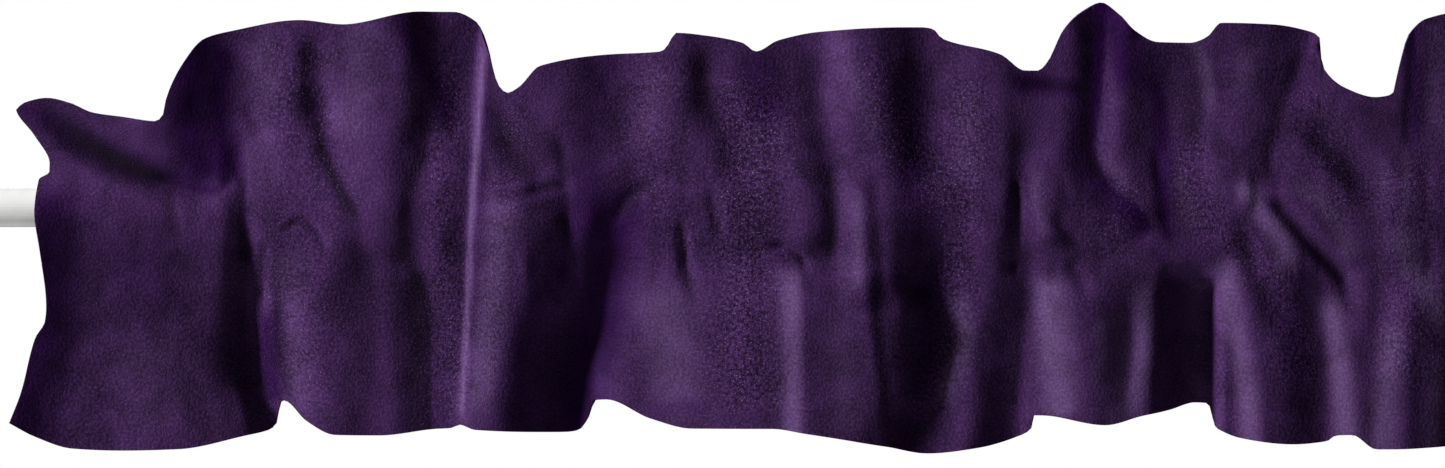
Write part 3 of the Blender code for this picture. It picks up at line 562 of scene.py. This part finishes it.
def back_points(u, low, top, share):
    """The pocket's back layer: from the lower seam, round behind the rod, to the upper one."""
    radius = CLEAR_RADIUS + BACK_SLACK
    low_turn = math.pi + np.arctan2(low, -LOW_SEAM_Z)
    top_turn = -np.arctan2(top, TOP_SEAM_Z)
    low_touch = low_turn - np.arccos(radius / np.hypot(low, LOW_SEAM_Z))
    top_touch = top_turn + np.arccos(radius / np.maximum(np.hypot(top, TOP_SEAM_Z), radius))
    turn = low_turn + (top_turn - low_turn) * share
    reach = radius / np.cos(np.maximum(turn - low_touch, 0) + np.maximum(top_touch - turn, 0))
    gather = (1 + np.sin(2 * math.pi * u / BACK_GATHER_PITCH)) / 2
    gather = gather + UNEVEN_BACK_GATHERS * smooth_noise(u, turn * 20, 9, 40, seed=11)
    reach = reach + BACK_GATHER * np.maximum(gather, 0) * np.sin(math.pi * share) ** 2
    return reach * np.sin(turn), reach * np.cos(turn)


def add_rows(bm, x, y, z):
    """Rows of vertices at these places."""
    return [[bm.verts.new((a * MM, b * MM, c * MM)) for a, b, c in zip(*row)] for row in zip(x, y, z)]


def add_grid(bm, rows, along, up):
    """Quads between rows of vertices, on the flat map by their places along and up the cloth."""
    flat = bm.loops.layers.uv["cloth"]
    for (low, high), (lower, upper) in zip(zip(up, up[1:]), zip(rows, rows[1:])):
        for left, right, a, b, c, d in zip(along, along[1:], lower, lower[1:], upper[1:], upper):
            face = bm.faces.new((a, b, c, d))
            places = ((left, low), (right, low), (right, high), (left, high))
            for loop, place in zip(face.loops, places):
                loop[flat].uv = place


def walked(points, axis):
    """Mean distance walked across the points, in metres, along rows (axis 2) or up columns (axis 1)."""
    steps = np.linalg.norm(np.diff(points, axis=axis), axis=0).mean(axis=2 - axis)
    return np.concatenate([[0], np.cumsum(steps)]) * MM


def cloth_mesh(sizes):
    """The cloth as one layer, with its flat map, its coarse pile marks, and its masks of painted shade
    and painted highlight.
    """
    u = spaced_columns(sizes.columns)
    x, out, z = front_points(u, (sizes.skirt_rows, sizes.pocket_rows, sizes.heading_rows))
    low, top = sizes.skirt_rows, sizes.skirt_rows + sizes.pocket_rows
    share = np.linspace(0, 1, sizes.back_rows + 1)[1:-1, None]
    back_x = x[low] + (x[top] - x[low]) * share
    back_y, back_z = back_points(u, out[low], out[top], share)

    bm = bmesh.new()
    bm.loops.layers.uv.new("cloth")
    front = add_rows(bm, x, -out, z)
    back = add_rows(bm, back_x, back_y, back_z)
    pocket = [front[top], *back[::-1], front[low]]
    points = np.stack((x, out, z))
    along, up = walked(points, 2), walked(points, 1)
    add_grid(bm, front, along, up)
    add_grid(bm, pocket, along, up[top] + np.linspace(0, BACK_ON_MAP, len(pocket)))
    mesh = bpy.data.meshes.new("velvet_valance")
    bm.to_mesh(mesh)
    bm.free()

    upright_x = placed(u, z)
    unmarked_back = np.zeros(back_x.size)
    for name, strokes in PAINTED_LIGHT_AND_PILE_MARKS.items():
        values = np.concatenate([marked(strokes, upright_x, z).ravel(), unmarked_back])
        mesh.attributes.new(name, "FLOAT", "POINT").data.foreach_set("value", values)
    return mesh


def link(name, data):
    """A new object in the scene that holds this mesh, light or camera."""
    obj = bpy.data.objects.new(name, data)
    bpy.context.scene.collection.objects.link(obj)
    return obj


def thicken(cloth, thickness):
    """Gives the one layer its thickness, half to each side, and smooth shading."""
    halves = cloth.modifiers.new("Same triangles on both faces", "TRIANGULATE")
    halves.quad_method = "SHORTEST_DIAGONAL"
    wall = cloth.modifiers.new("Cloth thickness", "SOLIDIFY")
    wall.solidify_mode = "NON_MANIFOLD"
    wall.nonmanifold_thickness_mode = "FIXED"
    wall.nonmanifold_boundary_mode = "NONE"
    wall.nonmanifold_merge_threshold = 0.000001
    wall.thickness = thickness
    wall.offset = 0
    graph = bpy.context.evaluated_depsgraph_get()
    made = bpy.data.meshes.new_from_object(
        cloth.evaluated_get(graph), preserve_all_data_layers=True, depsgraph=graph
    )
    cloth.modifiers.clear()
    cloth.data = made
    made.shade_smooth()
    made.set_sharp_from_angle(angle=SHARP_ANGLE)


class Value:
    """A number, vector or colour in a node tree. Arithmetic on a number adds Math nodes to the tree."""

    def __init__(self, tree, socket):
        self.tree = tree
        self.socket = socket

    def math(self, operation, *values):
        node = self.tree.nodes.new("ShaderNodeMath")
        node.operation = operation
        for place, value in enumerate(values):
            if isinstance(value, Value):
                self.tree.links.new(value.socket, node.inputs[place])
            else:
                node.inputs[place].default_value = value
        return Value(self.tree, node.outputs[0])

    def __add__(self, other):
        return self.math("ADD", self, other)

    def __radd__(self, other):
        return self.math("ADD", other, self)

    def __sub__(self, other):
        return self.math("SUBTRACT", self, other)

    def __rsub__(self, other):
        return self.math("SUBTRACT", other, self)

    def __mul__(self, other):
        return self.math("MULTIPLY", self, other)


class Finish:
    """A material whose nodes are added by name."""

    def __init__(self, name, **constants):
        self.material = bpy.data.materials.new(name)
        self.material.use_nodes = True
        self.tree = self.material.node_tree
        self.shader = self.tree.nodes["Principled BSDF"]
        for socket, value in constants.items():
            self.shader.inputs[socket.replace("_", " ")].default_value = value

    def node(self, kind, output=0, settings=(), **sockets):
        """Adds a node, sets it up, and gives its sockets values or links. It returns one output."""
        node = self.tree.nodes.new(kind)
        for setting, value in dict(settings).items():
            setattr(node, setting, value)
        for socket, value in sockets.items():
            entry = node.inputs[socket.replace("_", " ")]
            if isinstance(value, Value):
                self.tree.links.new(value.socket, entry)
            else:
                entry.default_value = value
        return Value(self.tree, node.outputs[output])

    def noise(self, where, scale, detail=2.0, roughness=0.5, distortion=0.0):
        return self.node(
            "ShaderNodeTexNoise", "Fac", Vector=where, Scale=scale, Detail=detail, Roughness=roughness,
            Distortion=distortion,
        )

    def between(self, value, low, high):
        """0 where the value is under low, 1 where it is over high, and smooth between."""
        return self.node(
            "ShaderNodeMapRange", settings={"interpolation_type": "SMOOTHSTEP"}, Value=value,
            From_Min=low, From_Max=high,
        )

    def blend(self, share, first, second):
        """The first colour where share is 0, and the second where it is 1."""
        node = self.tree.nodes.new("ShaderNodeMix")
        node.data_type = "RGBA"
        for place, value in zip((0, 6, 7), (share, first, second)):
            if isinstance(value, Value):
                self.tree.links.new(value.socket, node.inputs[place])
            else:
                node.inputs[place].default_value = value
        return Value(self.tree, node.outputs[2])

    def feed(self, **sockets):
        """Links values to the shader's own sockets."""
        for socket, value in sockets.items():
            self.tree.links.new(value.socket, self.shader.inputs[socket.replace("_", " ")])
        return self.material


def tone(color, share):
    """The colour made darker or brighter, with its alpha."""
    return (*(c * share for c in color), 1.0)


def velvet(colors):
    """Short pile with random crush marks: a speckled grain, soft random patches where the pile lies
    another way, and painted shade and painted highlight from the stroke tables.
    """
    finish = Finish(
        "purple_velvet", Specular_IOR_Level=0.04, Sheen_Weight=colors.sheen, Sheen_Roughness=0.4,
        Sheen_Tint=tone(colors.sheen_tint, 1),
    )
    where = finish.node("ShaderNodeTexCoord", "Object")
    cloth = finish.node("ShaderNodeUVMap", settings={"uv_map": "cloth"})
    painted_deep_shade, painted_dark_shade, painted_highlight, coarse = (
        finish.node("ShaderNodeAttribute", "Fac", {"attribute_name": name}) for name in PAINTED_LIGHT_AND_PILE_MARKS
    )
    grain = finish.between(finish.noise(cloth, 480.0, 2.0, 0.6), 0.36, 0.66)
    clumps = finish.between(finish.noise(cloth, 340.0, 3.0, 0.7), 0.38, 0.64)
    specks = finish.between(finish.noise(cloth, 760.0, 1.0, 0.5), 0.60, 0.76)
    crush = finish.noise(where, 34.0, 3.0, 0.6, 0.6)
    patches = finish.noise(where, 11.0, 2.0, 0.5, 0.3)
    lay = finish.between(crush * 0.6 + patches * 0.4, 0.34, 0.66)
    tint = lay * 0.45 + grain * 0.46 + 0.045 + (clumps - 0.5) * coarse * 1.1
    base, pale, painted_shade_purple, flat = (
        finish.blend(tint, tone(color, 1 - spread), tone(color, 1 + spread))
        for color, spread in (
            (colors.velvet, 0.65), (colors.pale, 0.45), (colors.painted_shade_purple, 0.6), (colors.flat, 0.6)
        )
    )
    # Painted highlight mixes in the pale tone, painted shade mixes in the deep purple, and the darkest
    # painted shade mixes in the almost black tone.
    with_painted_light = finish.blend(painted_deep_shade, finish.blend(painted_highlight * 0.75, base, pale), painted_shade_purple)
    with_painted_light = finish.blend(painted_dark_shade, with_painted_light, flat)
    color = finish.blend(specks * (coarse * 0.6 + (1 - painted_deep_shade) * 0.25), with_painted_light, tone(colors.speck, 1))
    height = grain * 0.0002 + crush * 0.0008
    bump = finish.node("ShaderNodeBump", Height=height, Strength=0.8, Distance=1.0)
    return finish.feed(Base_Color=color, Roughness=0.72 - lay * 0.14, Normal=bump)


def backing(colors):
    """The plain wrong side of the cloth: flat, dull and finely woven."""
    finish = Finish("velvet_backing", Sheen_Weight=0.1)
    cloth = finish.node("ShaderNodeUVMap", settings={"uv_map": "cloth"})
    across, along = (
        finish.node(
            "ShaderNodeTexWave", "Fac", {"bands_direction": direction}, Vector=cloth, Scale=230.0,
            Distortion=1.0, Detail=1.0,
        )
        for direction in "XY"
    )
    slub = finish.noise(cloth, 120.0, 2.0)
    weave = across * 0.5 + along * 0.5
    color = finish.blend(weave * 0.6 + slub * 0.4, tone(colors.backing, 0.6), tone(colors.backing, 1.3))
    bump = finish.node("ShaderNodeBump", Height=weave * 0.0002, Strength=0.6, Distance=1.0)
    return finish.feed(Base_Color=color, Roughness=0.98 - slub * 0.1, Normal=bump)


def enamel(colors):
    """Satin white enamel on the rod, with the faint ripple of sprayed paint."""
    finish = Finish("white_enamel", Coat_Weight=0.15, Coat_Roughness=0.2)
    where = finish.node("ShaderNodeTexCoord", "Object")
    ripple = finish.noise(where, 420.0, 2.0)
    wear = finish.between(finish.noise(where, 60.0, 4.0, 0.7), 0.35, 0.75)
    color = finish.blend(wear, tone(colors.rod, 1.0), tone(colors.rod, 0.93))
    bump = finish.node("ShaderNodeBump", Height=ripple * 0.00004, Strength=0.5, Distance=1.0)
    return finish.feed(Base_Color=color, Roughness=0.30 + wear * 0.12, Normal=bump)


class ValanceSizes(bpy.types.PropertyGroup):
    thickness: FloatProperty(
        name="Cloth thickness", description="Thickness of the velvet", default=CLOTH_THICKNESS * MM,
        unit="LENGTH",
    )
    columns: IntProperty(name="Columns", description="Mesh columns along the cloth", default=372)
    skirt_rows: IntProperty(
        name="Skirt rows", description="Mesh rows from the hem to the lower seam", default=38
    )
    pocket_rows: IntProperty(name="Pocket rows", description="Mesh rows between the seams", default=24)
    heading_rows: IntProperty(
        name="Heading rows", description="Mesh rows from the upper seam to the edge", default=36
    )
    back_rows: IntProperty(name="Back rows", description="Mesh rows round behind the rod", default=22)
    cut_length: FloatProperty(
        name="Cut length", description="Length of the cloth before it is gathered", default=1.40,
        unit="LENGTH",
    )
    cut_width: FloatProperty(
        name="Cut width", description="Width of the cloth before it is folded and sewn", default=0.38,
        unit="LENGTH",
    )


class ValanceColors(bpy.types.PropertyGroup):
    velvet: FloatVectorProperty(
        name="Velvet", description="Colour of the pile", subtype="COLOR", default=(0.039, 0.0135, 0.063)
    )
    speck: FloatVectorProperty(
        name="Pile tips", description="Colour of the bright tips of the pile", subtype="COLOR",
        default=(0.20, 0.13, 0.27),
    )
    # Painted highlight: the pale tone that is mixed in where the cloth faces the light.
    pale: FloatVectorProperty(
        name="Lifted pile", description="Colour of the pile where it stands up to the light",
        subtype="COLOR", default=(0.098, 0.053, 0.141),
    )
    # Painted shade: the deep purple that is mixed in where the folds lie in shade.
    painted_shade_purple: FloatVectorProperty(
        name="Brushed pile", description="Colour of the pile where it lies away from the light",
        subtype="COLOR", default=(0.0145, 0.0006, 0.0330),
    )
    # Painted shade: the almost black tone that is mixed in where the cloth lies deepest in shade.
    flat: FloatVectorProperty(
        name="Crushed pile", description="Colour of the pile where it is crushed flat", subtype="COLOR",
        default=(0.0035, 0.0016, 0.0050),
    )
    sheen_tint: FloatVectorProperty(
        name="Sheen", description="Colour of the sheen at the cloth's turns", subtype="COLOR",
        default=(0.55, 0.42, 0.70),
    )
    sheen: FloatProperty(name="Sheen strength", description="How strong the sheen is", default=0.01)
    backing: FloatVectorProperty(
        name="Backing", description="Colour of the cloth's wrong side", subtype="COLOR",
        default=(0.035, 0.016, 0.052),
    )
    rod: FloatVectorProperty(
        name="Rod", description="Colour of the rod's enamel", subtype="COLOR", default=(0.72, 0.72, 0.71)
    )


class VALANCE_OT_cloth(bpy.types.Operator):
    """Make the gathered cloth, with its heading, rod pocket and skirt"""

    bl_idname = "valance.cloth"
    bl_label = "Valance Cloth"

    def execute(self, context):
        sizes = context.scene.valance_sizes
        colors = context.scene.valance_colors
        mesh = cloth_mesh(sizes)
        mesh.materials.append(velvet(colors))
        mesh.materials.append(backing(colors))
        cloth = link("velvet_valance", mesh)
        thicken(cloth, sizes.thickness)
        for face in cloth.data.polygons:
            faces_back = face.normal.y > 0.05
            below_pocket = face.center.z < (LOW_SEAM_Z - 2) * MM
            face.material_index = int(faces_back and below_pocket)

        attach(cloth, "root")
        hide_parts("valance_cloth")
        return {"FINISHED"}


class VALANCE_OT_rod(bpy.types.Operator):
    """Finish the round rod"""

    bl_idname = "valance.rod"
    bl_label = "Rod"

    def execute(self, context):
        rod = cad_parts["curtain_rod"]
        paint = enamel(context.scene.valance_colors)
        for slot in rod.material_slots:
            slot.material = paint
        return {"FINISHED"}


def area_light(name, place, aim, size, power):
    """A soft light that faces a point."""
    data = bpy.data.lights.new(name, "AREA")
    data.size = size
    data.energy = power
    light = link(name, data)
    light.location = place
    light.rotation_euler = (Vector(aim) - Vector(place)).to_track_quat("-Z", "Y").to_euler()


def studio_world(dim):
    """A world that the camera sees as white, and that lights the piece only dimly."""
    world = bpy.data.worlds.new("studio")
    world.use_nodes = True
    nodes, links = world.node_tree.nodes, world.node_tree.links
    seen = nodes["Background"]
    soft = nodes.new("ShaderNodeBackground")
    for background, brightness in ((seen, 1.0), (soft, dim)):
        background.inputs["Color"].default_value = (1, 1, 1, 1)
        background.inputs["Strength"].default_value = brightness
    path = nodes.new("ShaderNodeLightPath")
    mix = nodes.new("ShaderNodeMixShader")
    links.new(path.outputs["Is Camera Ray"], mix.inputs[0])
    links.new(soft.outputs[0], mix.inputs[1])
    links.new(seen.outputs[0], mix.inputs[2])
    links.new(mix.outputs[0], nodes["World Output"].inputs["Surface"])
    return world


class VALANCE_OT_stage(bpy.types.Operator):
    """Lay the floor and set the lights and the camera"""

    bl_idname = "valance.stage"
    bl_label = "Stage"

    def execute(self, context):
        bm = bmesh.new()
        bmesh.ops.create_grid(bm, x_segments=1, y_segments=1, size=2.4)
        bmesh.ops.translate(bm, verts=bm.verts, vec=(0.54, 0, -1.9))
        mesh = bpy.data.meshes.new("floor")
        bm.to_mesh(mesh)
        bm.free()
        floor = link("floor", mesh)
        pale = Finish("pale_floor", Base_Color=(0.8, 0.8, 0.8, 1), Roughness=0.9)
        mesh.materials.append(pale.material)

        context.scene.world = studio_world(dim=0.009)
        middle = (0.54, 0, -0.01)
        area_light("key", (-4.4, -1.9, 2.1), middle, size=1.0, power=700)
        area_light("behind", (0.6, 4.0, 1.0), middle, size=3.0, power=110)
        context.scene.view_settings.view_transform = "Standard"

        data = bpy.data.cameras.new("camera")
        data.lens = 142.4
        data.clip_end = 100
        camera = link("camera", data)
        camera.location = (0.54075, -4.015, -0.0189)
        camera.rotation_euler = (math.radians(90), 0, 0)
        context.scene.camera = camera
        return {"FINISHED"}


class VALANCE_PT_panel(bpy.types.Panel):
    bl_label = "Window Valance"
    bl_idname = "VALANCE_PT_panel"
    bl_space_type = "VIEW_3D"
    bl_region_type = "UI"
    bl_category = "Valance"

    def draw(self, context):
        for group in (context.scene.valance_sizes, context.scene.valance_colors):
            for name in group.__annotations__:
                self.layout.prop(group, name)
        for operator in OPERATORS:
            self.layout.operator(operator.bl_idname)


OPERATORS = (VALANCE_OT_cloth, VALANCE_OT_rod, VALANCE_OT_stage)
CLASSES = (ValanceSizes, ValanceColors, *OPERATORS, VALANCE_PT_panel)


def register():
    for cls in CLASSES:
        bpy.utils.register_class(cls)
    bpy.types.Scene.valance_sizes = PointerProperty(type=ValanceSizes)
    bpy.types.Scene.valance_colors = PointerProperty(type=ValanceColors)


def unregister():
    del bpy.types.Scene.valance_colors
    del bpy.types.Scene.valance_sizes
    for cls in reversed(CLASSES):
        bpy.utils.unregister_class(cls)


def main():
    register()
    bpy.ops.valance.cloth()
    bpy.ops.valance.rod()
    bpy.ops.valance.stage()


if __name__ == "__main__":
    main()
